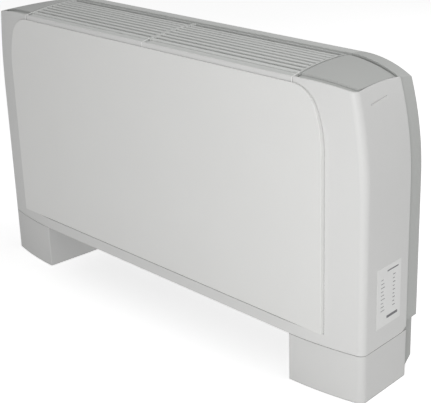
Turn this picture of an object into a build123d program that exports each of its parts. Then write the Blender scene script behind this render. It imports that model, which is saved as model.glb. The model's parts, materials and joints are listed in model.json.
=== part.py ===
from build123d import *
import os
from math import atan2, cos, degrees, pi, radians, sin, sqrt

# A floor-standing fan convector heater: a low cabinet on two feet, with air drawn in
# below, driven by two centrifugal fans through a hot-water coil and out at the top.
# X runs to the right, -Y is the front, +Z is up, and the floor is Z = 0. "Depth" is
# the distance behind the flat middle of the front face. All sizes are millimetres.

# ---- cabinet: driving dimensions -------------------------------------------------
DEPTH = 190.0                 # front plate to the back flange
PLATE_PROUD = 2.5             # front plate stands out from the front face by this
PLATE_HALF = 434.5
PLATE_BASE = 118.0
FRONT_Y = -DEPTH / 2 + PLATE_PROUD
HEIGHT = 576.0                # floor to the crown of the top
CROWN_DEPTH = 105.0           # the top is an arch, highest at this depth
CROWN_RADIUS = 500.0
FLAT_TOP_HALF = 371.0         # the top is level across this half width, then droops
SIDE_HALF = 511.4             # half width at the front, before the corner rounding
SIDE_TAPER = 0.0626           # the cabinet narrows by this much per unit of depth
STRAIGHT_HEIGHT = 375.0       # above this the sides lean in on an arc
LEAN_RADIUS_REAR = 540.0
FLAT_FRONT_HALF = 344.0       # the front is flat across this half width, then bows
BOW_RADIUS = 680.0
CORNER_RADIUS = 14.0
WALL = 2.5
SHEET = 1.5                   # folded steel inside the cabinet
GAP = 0.8                     # shut line between neighbouring covers
FOOT_HEIGHT = 92.0
CABINET_BASE = FOOT_HEIGHT + GAP
COVER_REAR = 150.0            # depth where the front cover's sides end
SHELL_REAR = DEPTH - PLATE_PROUD
SHELL_STEP = 3.0              # the rear shell sits in from the cover's sides
SHELL_BASE = 108.0
SHELL_SCREW_HEIGHTS = (150.0, 330.0, 500.0)
FLOOR_TO_SKY = 700.0          # longer than any height, for cutting prisms

# ---- top: grilles, lids and rear rail --------------------------------------------
GUTTER_FRONT = WALL + 0.9     # a shallow gutter runs along the front of grilles and lids
GUTTER_DROP = 4.0             # its depth below the top surface
TOP_FRONT = 17.0              # depth where the grilles and lids rise out of the gutter
TOP_REAR = 136.0              # and where they end
RAIL_FRONT = COVER_REAR + 0.3
GRILLE_HALF = 370.8
GRILLE_BAR = 3.2              # width of the grilles' arched end bars
SLAT_PITCH = 12.2
SLAT_WIDTH = 7.0
SLAT_DEPTH = 13.0
FIRST_SLAT = 22.5
SLAT_COUNT = 9
LID_SKIN = 3.0
LID_SKIRT = 9.0
LID_CORNER = 10.5             # front outer corner of each lid
LID_START = GRILLE_HALF + 4.2
HINGE_DEPTH = 134.0
HINGE_Z = 570.3
KNUCKLE_RADIUS = 3.0
KNUCKLE_START = 380.0
KNUCKLE_END = 398.0
PIN_RADIUS = 1.5
RAIL_CHANNEL_DROP = 9.0       # channel behind the grilles, below the top surface
LID_CHANNEL_DROP = 5.0        # and behind the lids
LID_CHANNEL_FRONT = TOP_REAR + 3.6
RUNNING = 0.05                # radial clearance of every turning fit

# ---- inside ----------------------------------------------------------------------
CORE_HALF = 372.0             # inner faces of the chassis side plates
CORE_BASE = 98.0
CORE_TOP = 541.0
CORE_FRONT = 8.0
CORE_REAR = 181.5
DECK_Z = 285.0
FAN_DEPTH = 92.0
FAN_Z = 190.0
ROTOR_RADIUS = 59.0
ROTOR_START = 82.0            # inner end of each rotor, from the middle
ROTOR_LENGTH = 186.0
SHAFT_RADIUS = 5.0
MOTOR_RADIUS = 46.0
MOTOR_HALF = 52.0
STACK_HALF = 20.0             # half length of the motor's iron
STATOR_RADIUS = 40.0
ARMATURE_RADIUS = 24.0
BEARING_RADIUS = 11.0
SCROLL_START_RADIUS = 66.0
SCROLL_GROWTH = 18.0
COIL_DEPTH = 92.0
COIL_Z = 424.0
COIL_TILT = 28.0
COIL_HEIGHT = 208.0
COIL_THICK = 44.0
COIL_HALF = 355.0
FIN_PITCH = 14.0
FIN_THICK = 0.8
TUBE_RADIUS = 4.8
TUBE_ROWS = 8
PIPE_RADIUS = 8.0
PIPE_X = -432.0
SUPPLY_DEPTH = 45.0
RETURN_DEPTH = 110.0
DRAIN_DEPTH = 34.0
DRAIN_Z = 303.0
CABLE_DEPTH = 60.0            # where the motor cable passes the side plate
CABLE_Z = 240.0
LEG_WEB_X = 484.0             # inner face of each leg's upright web
LEG_SCREW_XS = (412.0, 446.0)
LEG_SCREW_Z = 130.0
FILTER_HALF = 345.0
FILTER_RIM = 10.0             # width of the bars of the filter frame
FILTER_WINDOWS = 4
VENT_X = -388.0
VENT_SCREW_RADIUS = 3.0


# ---- helpers -----------------------------------------------------------------------
def at(depth):
    """Y of a depth behind the front face."""
    return FRONT_Y + depth


def block(x0, x1, d0, d1, z0, z1):
    """Box between two X values, two depths and two heights."""
    centre = Pos((x0 + x1) / 2, at((d0 + d1) / 2), (z0 + z1) / 2)
    return centre * Box(abs(x1 - x0), abs(d1 - d0), abs(z1 - z0))


def along_x(radius, x0, x1, depth, z):
    return Pos((x0 + x1) / 2, at(depth), z) * Rot(0, 90, 0) * Cylinder(radius, abs(x1 - x0))


def along_y(radius, x, d0, d1, z):
    return Pos(x, at((d0 + d1) / 2), z) * Rot(90, 0, 0) * Cylinder(radius, abs(d1 - d0))


def along_z(radius, x, depth, z0, z1):
    return Pos(x, at(depth), (z0 + z1) / 2) * Cylinder(radius, abs(z1 - z0))


def hexagon(across_flats, x, depth, z0, z1):
    """Upright hexagonal prism."""
    face = RegularPolygon(across_flats / 2, 6, major_radius=False)
    return extrude(Pos(x, at(depth), z0) * face, z1 - z0)


def mirrored(part):
    return mirror(part, about=Plane.YZ)


def joined(parts):
    """All parts fused into one."""
    first, *rest = parts
    return first.fuse(*rest) if rest else first


def soften(part, radius, keep):
    """Round the edges that keep() picks; leave them sharp if they can't be rounded."""
    edges = [edge for edge in part.edges() if keep(edge)]
    return fillet(edges, radius) if edges else part


def pipe_along(points, radius, bend):
    """Round pipe along straight runs joined by bends of one radius."""
    path = FilletPolyline(*points, radius=bend)
    start = Plane(origin=path @ 0, z_dir=path % 0)
    return sweep(start * Circle(radius), path=path)


# ---- the cabinet's outer form --------------------------------------------------------
def half_width(depth):
    return SIDE_HALF - SIDE_TAPER * depth


def crown_height(depth):
    return HEIGHT - (depth - CROWN_DEPTH) ** 2 / (2 * CROWN_RADIUS)


def corner_height(depth):
    """Height of the edge between the side and the top."""
    return 553.0 + 0.1027 * depth - 0.000832 * depth ** 2


def side_x(depth, z):
    """Outer X of the side at one depth and height."""
    lean = max(LEAN_RADIUS_REAR, 850.0 - 2.1 * depth)
    return half_width(depth) - max(z - STRAIGHT_HEIGHT, 0.0) ** 2 / (2 * lean)


def top_z(x, depth):
    """Height of the top surface: level in the middle, drooping towards the ends."""
    edge = side_x(depth, corner_height(depth))
    out = max(abs(x) - FLAT_TOP_HALF, 0.0) / (edge - FLAT_TOP_HALF)
    return crown_height(depth) - (crown_height(depth) - corner_height(depth)) * out ** 2


def elevation(depth, inset, drop):
    """Upright section of the cabinet at one depth."""
    y = at(depth)
    edge_z = corner_height(depth)
    middle_z = (STRAIGHT_HEIGHT + edge_z) / 2
    edge = side_x(depth, edge_z)
    middle = (FLAT_TOP_HALF + edge) / 2
    wide = half_width(depth) - inset
    low = (wide, y, 0)
    knee = (wide, y, STRAIGHT_HEIGHT)
    flank = (side_x(depth, middle_z - drop) - inset, y, middle_z - drop)
    edge_x = side_x(depth, edge_z - drop) - inset
    corner = (edge_x, y, edge_z - drop)
    brow = (middle, y, top_z(middle, depth) - drop)
    flat = (FLAT_TOP_HALF, y, crown_height(depth) - drop)

    def left(point):
        return (-point[0], point[1], point[2])

    edges = [
        Line(left(low), low),
        Line(low, knee),
        ThreePointArc(knee, flank, corner),
        ThreePointArc(corner, brow, flat),
        Line(flat, left(flat)),
        ThreePointArc(left(flat), left(brow), left(corner)),
        ThreePointArc(left(corner), left(flank), left(knee)),
        Line(left(knee), left(low)),
    ]
    return Face(Wire(edges))


def top_band(upper, lower):
    """Curved layer under the top surface, between two vertical distances below it."""
    def band_section(depth):
        y = at(depth)
        edge = side_x(depth, corner_height(depth))
        middle = (FLAT_TOP_HALF + edge) / 2

        def arch(drop):
            return [(x, y, top_z(x, depth) - drop) for x in (edge, middle, FLAT_TOP_HALF)]

        def left(points):
            return [(-x, y, z) for x, y, z in points]

        high, low = arch(upper), arch(lower)
        edges = [
            ThreePointArc(*high),
            Line(high[2], left(high)[2]),
            ThreePointArc(*reversed(left(high))),
            Line(left(high)[0], left(low)[0]),
            ThreePointArc(*left(low)),
            Line(left(low)[2], low[2]),
            ThreePointArc(*reversed(low)),
            Line(low[0], high[0]),
        ]
        return Face(Wire(edges))

    return loft([band_section(depth) for depth in (-10.0, 60.0, 130.0, 200.0)])


def bowed_plan(inset, rear):
    """Plan outline whose front is flat in the middle and bows back at both ends."""
    radius = BOW_RADIUS - inset
    sweep_angle = radians(18.0)

    def bow(angle):
        return (FLAT_FRONT_HALF + radius * sin(angle), at(BOW_RADIUS - radius * cos(angle)))

    start, middle, end = bow(0.0), bow(sweep_angle / 2), bow(sweep_angle)
    back = (end[0], at(rear))

    def left(point):
        return (-point[0], point[1])

    edges = [
        Line(left(start), start),
        ThreePointArc(start, middle, end),
        Line(end, back),
        Line(back, left(back)),
        Line(left(back), left(end)),
        ThreePointArc(left(end), left(middle), left(start)),
    ]
    return Face(Wire(edges))


def form(side_inset=0.0, front_inset=0.0, drop=0.0, base=0.0, rear=SHELL_REAR, corner=CORNER_RADIUS):
    """The cabinet's outer form, shrunk by insets and lowered by drop."""
    lofted = loft([elevation(depth, side_inset, drop) for depth in (-10.0, 60.0, 130.0, 200.0)])
    prism = extrude(Pos(0, 0, base) * bowed_plan(front_inset, rear), FLOOR_TO_SKY)
    whole = lofted & prism

    def front_corner(edge):
        box = edge.bounding_box()
        return box.size.Z > 60 and abs(edge.center().X) > 450 and box.max.Y < at(45)

    return soften(whole, corner, front_corner) if corner else whole


def shell_of(rear, base, drop=-30.0, wall=WALL):
    """The cabinet's wall: outer form less the same form set in by the wall."""
    outer = form(base=base, rear=rear)
    inner = form(wall, wall, drop, base - 1, rear + 1, CORNER_RADIUS - wall)
    return outer - inner, inner


# ---- covers ----------------------------------------------------------------------------
def front_cover():
    """U-shaped cover: front and both sides, with turned-in top and rear edges."""
    shell, inner = shell_of(COVER_REAR, CABINET_BASE)
    ledge = inner & block(-480, 480, 0, 22, 541, 543)
    rear_slab = inner & block(-520, 520, COVER_REAR - WALL, COVER_REAR, CABINET_BASE, 520)
    opening = form(WALL + 12, WALL, -30, 0, COVER_REAR + 1, 0)
    cover = joined([shell, ledge, rear_slab - opening]) - plate_groove()
    for side in (-1, 1):
        cover -= rear_corner_cut(side)
        cover -= grip_groove(side)
        cover -= along_y(2.2, side * 484, COVER_REAR - 6, COVER_REAR + 1, 300)

    def top_rim(edge):
        box = edge.bounding_box()
        return box.min.Z > 545 and box.max.Y < at(0.5) and box.size.X > 300

    return soften(cover, 1.0, top_rim)


def plate_groove():
    """Shadow gap in the front face, along the lower edge of the front plate."""
    deep, tall = 1.4, 2.4
    low = PLATE_BASE - tall
    band = extrude(Pos(0, 0, low) * bowed_plan(-1.0, 60.0), tall)
    band -= extrude(bowed_plan(deep, 61.0), PLATE_BASE)
    return band & block(-PLATE_HALF, PLATE_HALF, -5, 40, low, PLATE_BASE)


def rear_corner_cut(side):
    """Clips the lower rear corner of each side."""
    profile = Polyline((at(136), CABINET_BASE - 1), (at(COVER_REAR + 1), CABINET_BASE - 1),
                       (at(COVER_REAR + 1), CABINET_BASE + 8), close=True)
    face = Plane.YZ * make_face(profile)
    return Pos(side * 480 - 40, 0, 0) * extrude(face, 80)


def grip_groove(side):
    """Shallow slot near the top of each side, ending in a round dimple."""
    start, end = 52.0, 98.0
    z0, z1 = 529.0, 532.0
    cuts = []
    for depth, z in ((start, z0), (end, z1)):
        reach = side_x(depth, z)
        cuts.append(Pos(side * reach, at(depth), z) * Sphere(1.6))
    slope = degrees(atan2(z1 - z0, end - start))
    length = end - start
    middle = (start + end) / 2
    reach = (side_x(start, z0) + side_x(end, z1)) / 2 + 0.35
    lean = degrees(atan2(side_x(start, z0) - side_x(end, z1), length))
    rod = Pos(side * reach, at(middle), (z0 + z1) / 2) * Rot(slope, 0, side * lean) * Rot(90, 0, 0)
    cuts.append(rod * Cylinder(1.4, length))
    return joined(cuts)


def plate_outline(inset):
    """Upright outline of the front plate: square below, long curved corners above."""
    half, low, high, bend_start = PLATE_HALF, PLATE_BASE, 556.0, 447.0
    long_radius, turn = 200.0, 22.0
    rise = high - bend_start - long_radius * sin(radians(turn))
    short_radius = rise / (1 - sin(radians(turn)))

    def bend(start, radius, heading, sweep_angle):
        """End of an arc that leaves start at an angle in from upright."""
        a, b = radians(heading), radians(heading + sweep_angle)
        return (start[0] + radius * (cos(b) - cos(a)), start[1] + radius * (sin(b) - sin(a)))

    long_radius -= inset
    short_radius -= inset
    knee = (half - inset, bend_start)
    shoulder = bend(knee, long_radius, 0, turn)
    shoulder_mid = bend(knee, long_radius, 0, turn / 2)
    top = bend(shoulder, short_radius, turn, 90 - turn)
    top_mid = bend(shoulder, short_radius, turn, (90 - turn) / 2)
    foot = (half - inset, low + inset)

    def place(point, side=1):
        return (side * point[0], 0, point[1])

    edges = [
        Line(place(foot, -1), place(foot)),
        Line(place(foot), place(knee)),
        ThreePointArc(place(knee), place(shoulder_mid), place(shoulder)),
        ThreePointArc(place(shoulder), place(top_mid), place(top)),
        Line(place(top), place(top, -1)),
        ThreePointArc(place(top, -1), place(top_mid, -1), place(shoulder, -1)),
        ThreePointArc(place(shoulder, -1), place(shoulder_mid, -1), place(knee, -1)),
        Line(place(knee, -1), place(foot, -1)),
    ]
    return Face(Wire(edges))


def plate_block(inset, front):
    """The plate's outline carried back from one depth, well into the cabinet."""
    reach = 60.0
    middle = Pos(0, at(front + reach / 2), 0) * plate_outline(inset)
    return extrude(middle, reach / 2, both=True)


def front_plate():
    """Flat raised panel whose rim reaches back to the bowed front of the cover."""
    skin, rim = 1.5, 2.0
    slab = plate_block(0.0, -PLATE_PROUD)

    def outer_rim(edge):
        return edge.bounding_box().max.Y < at(-PLATE_PROUD) + 0.01

    slab = soften(slab, 1.0, outer_rim)
    cover = extrude(bowed_plan(0.0, 100.0), FLOOR_TO_SKY)
    return slab - plate_block(rim, skin - PLATE_PROUD) - cover


def grille(inset=0.4):
    """Right-hand outlet grille: arched end bars, cross ribs, slats along X and a gutter."""
    x0, x1 = inset, GRILLE_HALF

    def across(margin, d0, d1):
        return block(x0 + margin, x1 - margin, d0, d1, 500, 620)

    frame = top_band(0.0, SLAT_DEPTH) & across(0, TOP_FRONT, TOP_REAR)
    frame = frame - across(GRILLE_BAR, TOP_FRONT - 1, TOP_REAR - 3)
    gutter = top_band(GUTTER_DROP, GUTTER_DROP + LID_SKIN) & across(0, GUTTER_FRONT, TOP_FRONT + 3)
    ribs = [block(x - 1.2, x + 1.2, TOP_FRONT, TOP_REAR - 1, 540, 600) for x in rib_places(x0, x1)]
    low_skin = top_band(SLAT_DEPTH - 8, SLAT_DEPTH)
    parts = [frame, gutter] + [low_skin & rib for rib in ribs]
    for index in range(SLAT_COUNT):
        parts.append(slat(FIRST_SLAT + index * SLAT_PITCH, x0 + GRILLE_BAR / 2, x1 - GRILLE_BAR / 2))
    return joined(parts)


def rib_places(x0, x1):
    count = 4
    step = (x1 - x0) / (count + 1)
    return [x0 + step * (index + 1) for index in range(count)]


def slat(depth, x0, x1):
    """One blade with a rounded back, leaning with the arch."""
    lean = degrees((depth - CROWN_DEPTH) / CROWN_RADIUS)
    upright = SLAT_DEPTH - SLAT_WIDTH / 2
    crown = Pos(0, -SLAT_WIDTH / 2) * Circle(SLAT_WIDTH / 2)
    foot = Pos(0, -SLAT_WIDTH / 2 - upright / 2) * Trapezoid(SLAT_WIDTH, upright, 82)
    profile = crown + foot
    top = Pos(x0, at(depth), crown_height(depth) - 0.3)
    return top * Rot(-lean, 0, 0) * extrude(Plane.YZ * profile, x1 - x0)


def lid_footprint(margin, front):
    """Plan outline of the right-hand lid from one depth back, set in by a margin."""
    def edge(depth):
        return side_x(depth, corner_height(depth)) - WALL - 1.0 - margin

    inner = LID_START + margin
    rear = TOP_REAR - margin
    points = [(edge(depth), at(depth)) for depth in (0.0, rear / 2, rear)]
    edges = [
        Line((inner, at(0.0)), points[0]),
        ThreePointArc(*points),
        Line(points[2], (inner, at(rear))),
        Line((inner, at(rear)), (inner, at(0.0))),
    ]
    sides = extrude(Pos(0, 0, 500) * Face(Wire(edges)), 100)
    bow = extrude(Pos(0, 0, 500) * bowed_plan(front + margin, SHELL_REAR), 100)

    def upright(edge):
        box = edge.bounding_box()
        return box.size.Z > 90 and edge.center().X > 430

    return soften(sides & bow, LID_CORNER - margin, upright)


def lid():
    """Right-hand control flap: crowned skin, gutter, a skirt all round and a hinge knuckle."""
    wall = 2.0
    skin = top_band(0.0, LID_SKIN) & lid_footprint(0.0, TOP_FRONT)
    step = top_band(0.0, LID_SKIRT) & (lid_footprint(0.0, TOP_FRONT) - lid_footprint(wall, TOP_FRONT))
    gutter = lid_footprint(0.0, GUTTER_FRONT) - lid_footprint(wall, TOP_FRONT)
    gutter = top_band(GUTTER_DROP, GUTTER_DROP + LID_SKIN) & gutter
    skirt = lid_footprint(0.0, GUTTER_FRONT) - lid_footprint(wall, GUTTER_FRONT)
    skirt = top_band(GUTTER_DROP + 1, LID_SKIRT) & skirt
    knuckle = along_x(KNUCKLE_RADIUS, KNUCKLE_START, KNUCKLE_END, HINGE_DEPTH, HINGE_Z)
    knuckle = knuckle & top_band(LID_SKIN - 0.5, 60.0)
    whole = joined([skin, step, gutter, skirt, knuckle])
    return whole - along_x(PIN_RADIUS + RUNNING, LID_START - 5, KNUCKLE_END + 2, HINGE_DEPTH, HINGE_Z)


def hinge_pin():
    """Plain steel pin, pressed into the chassis lug, on which the lid's knuckle turns."""
    return along_x(PIN_RADIUS, CORE_HALF, KNUCKLE_END + 1, HINGE_DEPTH, HINGE_Z)


def rear_shell_solid():
    """Whole rear shell: a hoop with a turned-in back flange, open in front and below."""
    outer = form(SHELL_STEP, base=SHELL_BASE, corner=0)
    outer = outer & block(-520, 520, RAIL_FRONT, SHELL_REAR, SHELL_BASE, FLOOR_TO_SKY)

    def rear_rim(edge):
        box = edge.bounding_box()
        return box.min.Y > at(SHELL_REAR) - 0.1 and (box.min.Z > SHELL_BASE + 0.5 or box.size.Z > 100)

    outer = soften(outer, 2.0, rear_rim)
    hollow = form(SHELL_STEP + WALL, 0, WALL, 0, SHELL_REAR - WALL, 0)
    window = form(SHELL_STEP + 24, 0, 24, 0, SHELL_REAR + 5, 0)
    return outer - hollow - window


def rear_shell(whole):
    """Right-hand part of the rear shell: side, shoulder, back flange and a ledge."""
    arch = whole & block(FLAT_TOP_HALF + 0.4, 530, 0, 200, SHELL_BASE, FLOOR_TO_SKY)
    within = form(SHELL_STEP + WALL - 0.5, 0, 0, 0, SHELL_REAR, 0)

    def across(d0, d1):
        return within & block(FLAT_TOP_HALF + 0.4, 530, d0, d1, 500, FLOOR_TO_SKY)

    low = LID_CHANNEL_DROP + SHEET
    ledge = top_band(LID_CHANNEL_DROP, low) & across(LID_CHANNEL_FRONT, RAIL_FRONT + SHEET)
    lip = top_band(1.0, low) & across(RAIL_FRONT, RAIL_FRONT + SHEET)
    arch = joined([arch, ledge, lip])
    for z in SHELL_SCREW_HEIGHTS:
        x = side_x(SHELL_REAR, z) - 16
        arch -= along_y(2.2, x, SHELL_REAR - 5, SHELL_REAR + 1, z)
        arch -= along_y(4.2, x, SHELL_REAR - 1.7, SHELL_REAR + 1, z)
    return arch


def rear_rail(whole):
    """Straight rail between the shoulders, with a channel floor behind the grilles."""
    low = RAIL_CHANNEL_DROP + SHEET

    def across(d0, d1, base):
        return block(-FLAT_TOP_HALF, FLAT_TOP_HALF, d0, d1, base, FLOOR_TO_SKY)

    rail = whole & across(0, 200, SHELL_BASE)
    channel = top_band(RAIL_CHANNEL_DROP, low) & across(TOP_REAR + 1, RAIL_FRONT + 3, 540)
    lip = top_band(1.0, low) & across(RAIL_FRONT, RAIL_FRONT + SHEET, 540)
    return joined([rail, channel, lip])


# ---- feet ---------------------------------------------------------------------------------
def foot_cover():
    """Right-hand foot cover: front, outer and inner walls, open below and behind."""
    start, draft = 358.0, 0.05
    outer = form(base=0, rear=COVER_REAR)
    inner = form(WALL, WALL, 0, -1, COVER_REAR + 1, CORNER_RADIUS - WALL)

    def right_of(x, top):
        profile = Polyline((x, at(-5)), (560, at(-5)), (560, at(160)), (x - draft * 160, at(160)), close=True)
        return extrude(Pos(0, 0, -1) * make_face(profile), top + 1)

    body = outer & right_of(start, FOOT_HEIGHT)

    def inner_front(edge):
        box = edge.bounding_box()
        return box.size.Z > 60 and edge.center().X < start + 2 and box.max.Y < at(5)

    body = soften(body, 1.5, inner_front)
    body = body & block(300, 560, -5, COVER_REAR, 0, FOOT_HEIGHT)
    hollow = inner & right_of(start + WALL, FOOT_HEIGHT)
    cover = body - hollow
    for z in (14.0, 78.0):
        cover += (inner & right_of(start + WALL / 2, FOOT_HEIGHT)) & foot_rib(z)
    return cover


def foot_rib(z):
    """Stiffening rib behind the front wall of the foot cover."""
    return block(350, 520, 1, 20, z - 1, z + 1)


def foot_bracket():
    """Right-hand steel leg: floor flange, outer web and a rear flange up to the chassis."""
    thick, pad = 3.0, 1.5
    inner = LEG_WEB_X + 1
    top = SHELL_BASE - 0.5
    profile = Polyline((at(40), pad), (at(165), pad), (at(CORE_REAR + 5), 22), (at(CORE_REAR + 5), top),
                       (at(155), top), (at(155), 88), (at(40), 88), close=True)
    web = Pos(LEG_WEB_X, 0, 0) * extrude(Plane.YZ * make_face(profile), thick)
    floor = block(400, inner, 40, 165, pad, pad + thick)
    back = block(400, inner, CORE_REAR + 2, CORE_REAR + 3.4, 22, 150)
    knee = block(inner - 9, inner, 150, CORE_REAR + 3.4, 60, 62.5)
    leg = joined([web, floor, back, knee])
    for depth in (60.0, 140.0):
        leg -= along_z(4.5, 450, depth, 0, 10)
    for x in LEG_SCREW_XS:
        leg -= along_y(2.5, x, CORE_REAR - 2, CORE_REAR + 8, LEG_SCREW_Z)
    return leg


def foot_pads():
    """Rubber pads under both legs."""
    pads = [block(404, 436, depth - 12, depth + 12, 0, 1.5) for depth in (56, 148)]
    pads += [block(462, 483, depth - 12, depth + 12, 0, 1.5) for depth in (56, 148)]
    return Compound(pads + [mirrored(pad) for pad in pads])


# ---- chassis --------------------------------------------------------------------------------
def chassis_side():
    """Right-hand side plate with folded edges, tube slots and the lid's hinge lug."""
    plate = block(CORE_HALF, CORE_HALF + SHEET, CORE_FRONT, CORE_REAR, CORE_BASE, CORE_TOP)
    folds = [
        block(CORE_HALF, CORE_HALF + 14, CORE_FRONT, CORE_FRONT + SHEET, CORE_BASE, CORE_TOP - 12),
        block(CORE_HALF, CORE_HALF + 14, CORE_REAR - SHEET, CORE_REAR, CORE_BASE, CORE_TOP),
        block(CORE_HALF, CORE_HALF + SHEET, HINGE_DEPTH - 9, HINGE_DEPTH + 3, CORE_TOP, HINGE_Z),
        along_x(3.0, CORE_HALF, CORE_HALF + SHEET, HINGE_DEPTH, HINGE_Z),
    ]
    plate = joined([plate] + folds)
    plate -= along_x(PIN_RADIUS, CORE_HALF - 1, CORE_HALF + 3, HINGE_DEPTH, HINGE_Z)
    window = Box(10, COIL_THICK - 6, COIL_HEIGHT - 2)
    plate -= Pos(CORE_HALF, at(COIL_DEPTH), COIL_Z) * Rot(-COIL_TILT, 0, 0) * window
    plate -= along_x(9.5, CORE_HALF - 1, CORE_HALF + 3, CABLE_DEPTH, CABLE_Z)
    plate -= along_x(7.0, CORE_HALF - 1, CORE_HALF + 3, DRAIN_DEPTH, DRAIN_Z)
    return plate


def chassis_back():
    """Back panel across the whole heater, with four slots for wall fixing."""
    inside_shell = form(SHELL_STEP + WALL + 1.5, 0, 14, 0, SHELL_REAR + 5, 0)
    panel = inside_shell & block(-520, 520, CORE_REAR, CORE_REAR + SHEET, CORE_BASE, HEIGHT)
    for x in (-430.0, 430.0):
        for z in (180.0, 500.0):
            panel -= wall_slot(x, z)
    clear_of_leg = block(LEG_WEB_X - 1, 520, CORE_REAR - 1, CORE_REAR + 3, CORE_BASE - 1, SHELL_BASE)
    panel -= clear_of_leg
    panel -= mirrored(clear_of_leg)
    for side in (-1, 1):
        for x in LEG_SCREW_XS:
            panel -= along_y(2.5, side * x, CORE_REAR - 2, CORE_REAR + 8, LEG_SCREW_Z)
    return panel


def wall_slot(x, z):
    width, length = 9.0, 24.0
    face = SlotOverall(length, width)
    return Pos(x, at(CORE_REAR + 5), z) * Rot(90, 0, 0) * extrude(face, 10)


def base_panel():
    """Bottom panel with the air intake opening and a stiffening lip round it."""
    panel = block(-CORE_HALF, CORE_HALF, CORE_FRONT, CORE_REAR, CORE_BASE, CORE_BASE + SHEET)
    panel -= block(-330, 330, 34, 160, 90, 110)
    lip = block(-332, 332, 32, 162, CORE_BASE, CORE_BASE + 6) - block(-330, 330, 34, 160, 90, 110)
    return panel + lip


def fan_deck():
    """Shelf over the fans with one outlet above each housing."""
    deck = block(-CORE_HALF, CORE_HALF, 12, CORE_REAR, DECK_Z, DECK_Z + SHEET)
    for side in (-1, 1):
        deck -= block(side * 76, side * 274, 47, 174, DECK_Z - 5, DECK_Z + 5)
    return deck


def duct_front():
    """Front wall of the air duct, in front of the coil."""
    return block(-CORE_HALF, CORE_HALF, 10, 10 + SHEET, DECK_Z, 538)


def duct_insulation():
    """Foam on the inside of the duct's front wall."""
    return block(-368, 368, 11.8, 16.8, DECK_Z + 40, 534)


def filter_rails():
    """Two channels under the intake that hold the filter."""
    outside, inside, web = 348.0, 330.0, 1.5
    top, foot = CORE_BASE, 80.0
    parts = [
        block(outside - web, outside, 24, 176, foot, top),
        block(inside, outside, 24, 176, foot, foot + web),
        block(inside, outside, 24, 176, top - web, top),
        block(inside, outside, 174.5, 176, foot, top),
    ]
    rail = joined(parts)
    return Compound([rail, mirrored(rail)])


def filter_windows(margin, low, high):
    """Blocks that fill the windows of the filter frame, set in by a margin."""
    pitch = (2 * FILTER_HALF - FILTER_RIM) / FILTER_WINDOWS
    blocks = []
    for index in range(FILTER_WINDOWS):
        left = -FILTER_HALF + FILTER_RIM + index * pitch
        right = left + pitch - FILTER_RIM
        blocks.append(block(left + margin, right - margin, 38 + margin, 162 - margin, low, high))
    return blocks


def filter_frame():
    """Sliding frame of the air filter, with a pull lip along its front edge."""
    low, high = 82.0, 90.0
    frame = block(-FILTER_HALF, FILTER_HALF, 26, 172, low, high)
    for window in filter_windows(0.0, low - 1, high + 1):
        frame -= window
    lip = block(-60, 60, 20, 26.5, low, high - 4)
    return frame + lip


def filter_mesh():
    """Four sheets of filter cloth, one in each window of the frame."""
    return Compound(filter_windows(0.2, 85.0, 87.0))


# ---- fans -----------------------------------------------------------------------------------
def scroll_outline(extra):
    """Outline of the fan housing: a spiral that opens into an upright outlet."""
    def spiral(angle):
        radius = SCROLL_START_RADIUS + SCROLL_GROWTH * (angle - 135) / 225 + extra
        return (at(FAN_DEPTH) + radius * cos(radians(angle)), FAN_Z + radius * sin(radians(angle)))

    top = DECK_Z
    points = [spiral(angle) for angle in range(135, 361, 15)]
    curve = Spline(*points)
    end, start = points[-1], points[0]
    sides = Polyline(end, (end[0], top), (start[0], top), start)
    return Plane.YZ * make_face([curve, sides])


def fan_housing():
    """Right-hand scroll housing with an inlet in each end."""
    x0, x1 = ROTOR_START - 8, ROTOR_START + ROTOR_LENGTH + 8
    outer = Pos(x0, 0, 0) * extrude(scroll_outline(2.0), x1 - x0)
    inner = Pos(x0 + 2, 0, 0) * extrude(scroll_outline(0.0), x1 - x0 - 4)
    inner += block(x0 + 2, x1 - 2, 49, 172, DECK_Z - 8, DECK_Z + 1)
    inlet_radius, rim_wall, rim_depth = 50.0, 3.0, 6.0
    inlets = along_x(inlet_radius, x0 - 1, x1 + 1, FAN_DEPTH, FAN_Z)
    rims = [
        along_x(inlet_radius + rim_wall, start, start + rim_depth, FAN_DEPTH, FAN_Z)
        for start in (x0, x1 - rim_depth)
    ]
    return joined([outer - inner] + rims) - inlets


def rotor():
    """Right-hand double-inlet rotor: forward-curved blades, end rings, disc and hub."""
    x0, x1 = ROTOR_START, ROTOR_START + ROTOR_LENGTH
    middle = (x0 + x1) / 2
    inner = ROTOR_RADIUS - 9.0
    blades = 36

    def ring(a, b):
        whole = along_x(ROTOR_RADIUS, a, b, FAN_DEPTH, FAN_Z)
        return whole - along_x(inner, a - 1, b + 1, FAN_DEPTH, FAN_Z)

    arc_out = Pos(0, 0) * Circle(6.2)
    arc_in = Pos(0.9, -0.5) * Circle(5.9)
    window = Pos(-4.5, 3.5) * Rectangle(9, 9)
    crescent = (arc_out - arc_in) & window
    blade = extrude(Plane.YZ * (Pos(0, ROTOR_RADIUS - 7.6) * crescent), x1 - x0)
    centre = Pos(x0, at(FAN_DEPTH), FAN_Z)
    parts = [centre * Rot(360 * index / blades, 0, 0) * blade for index in range(blades)]
    disc = along_x(ROTOR_RADIUS - 1, middle - 1, middle + 1, FAN_DEPTH, FAN_Z)
    hub = along_x(13, middle - 12, middle + 12, FAN_DEPTH, FAN_Z)
    wheel = joined([disc, hub, ring(x0, x0 + 3), ring(x1 - 3, x1)] + parts)
    return wheel - along_x(SHAFT_RADIUS, x0 - 1, x1 + 1, FAN_DEPTH, FAN_Z)


def motor_shaft():
    reach = ROTOR_START + ROTOR_LENGTH / 2 + 20
    shaft = along_x(SHAFT_RADIUS, -reach, reach, FAN_DEPTH, FAN_Z)
    return soften(shaft, 0.6, lambda edge: edge.bounding_box().size.X < 0.1)


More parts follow.
